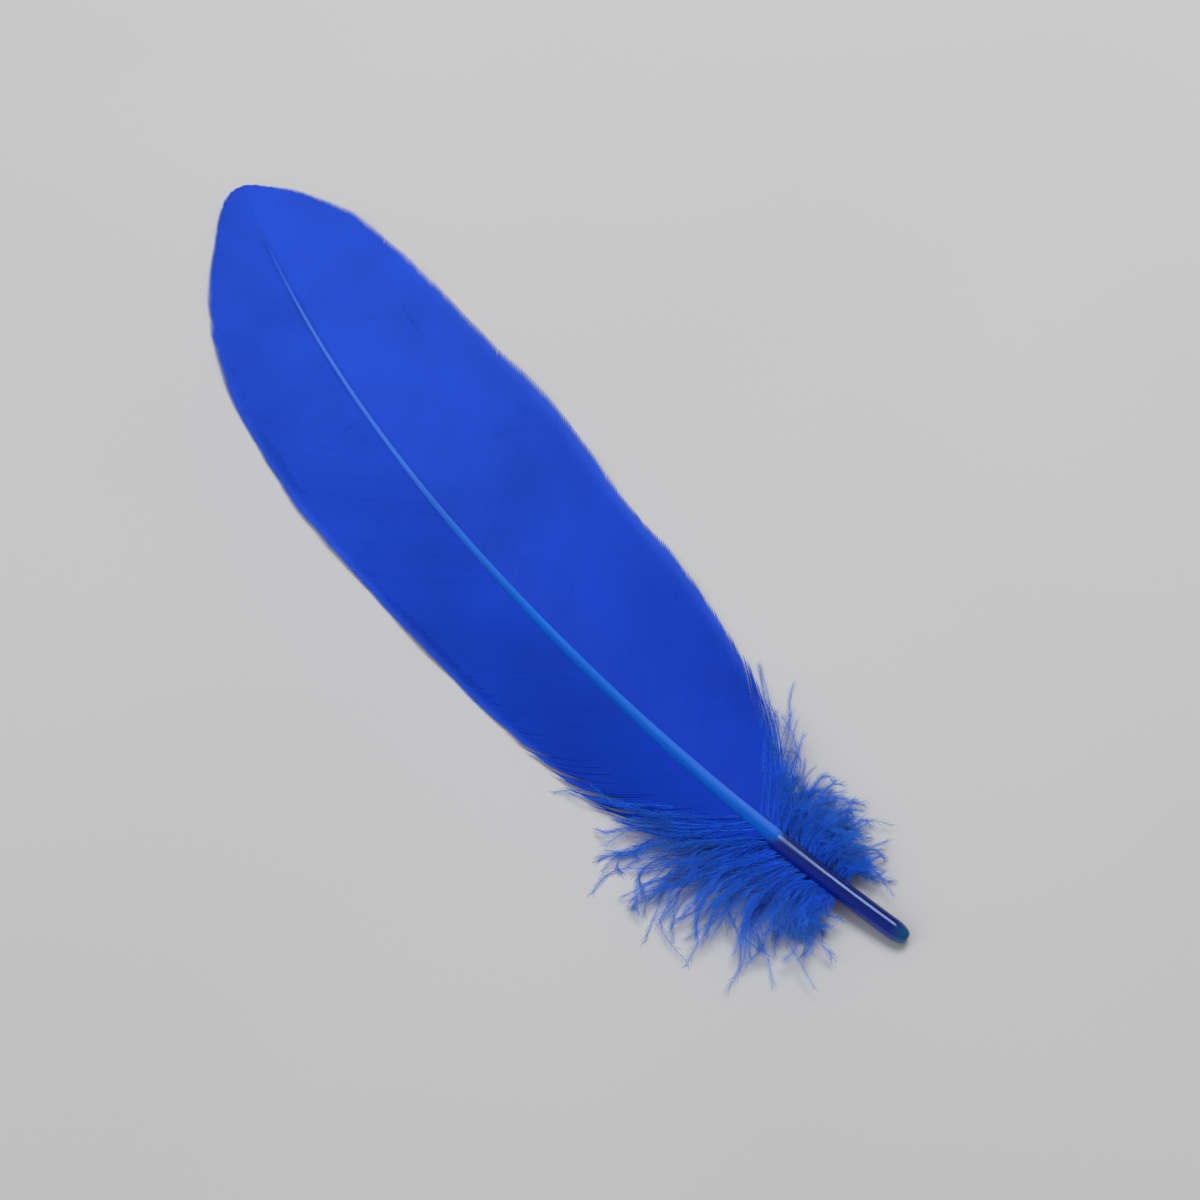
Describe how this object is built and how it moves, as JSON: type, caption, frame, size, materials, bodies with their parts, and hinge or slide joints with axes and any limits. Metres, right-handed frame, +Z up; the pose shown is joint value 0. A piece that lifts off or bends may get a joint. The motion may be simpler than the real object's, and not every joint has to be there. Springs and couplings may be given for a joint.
{
  "type": "goose quill feather",
  "caption": "Dyed goose wing feather lying outer side up: rounded quill, bowed tapering shaft, narrow and broad vane, loose down at the base.",
  "frame": {"origin": "middle of the feather's footprint, on the level surface that it lies on", "axes": "+Y along the feather from the quill's end to the tip, +X towards the broad vane, +Z up out of the feather's outer side"},
  "size_m": [0.0432, 0.1672, 0.0071],
  "materials": {
    "quill": "dyed keratin: satin pith-filled rachis, glossy translucent quill",
    "vane": "dyed barbs, satin-matte",
    "down": "dyed loose down barbs, matte and slightly see-through"
  },
  "bodies": {
    "root": {"quill_shaft": "quill", "narrow_vane": "vane", "broad_vane": "vane", "down_left": "down", "down_right": "down"}
  },
  "joints": []
}
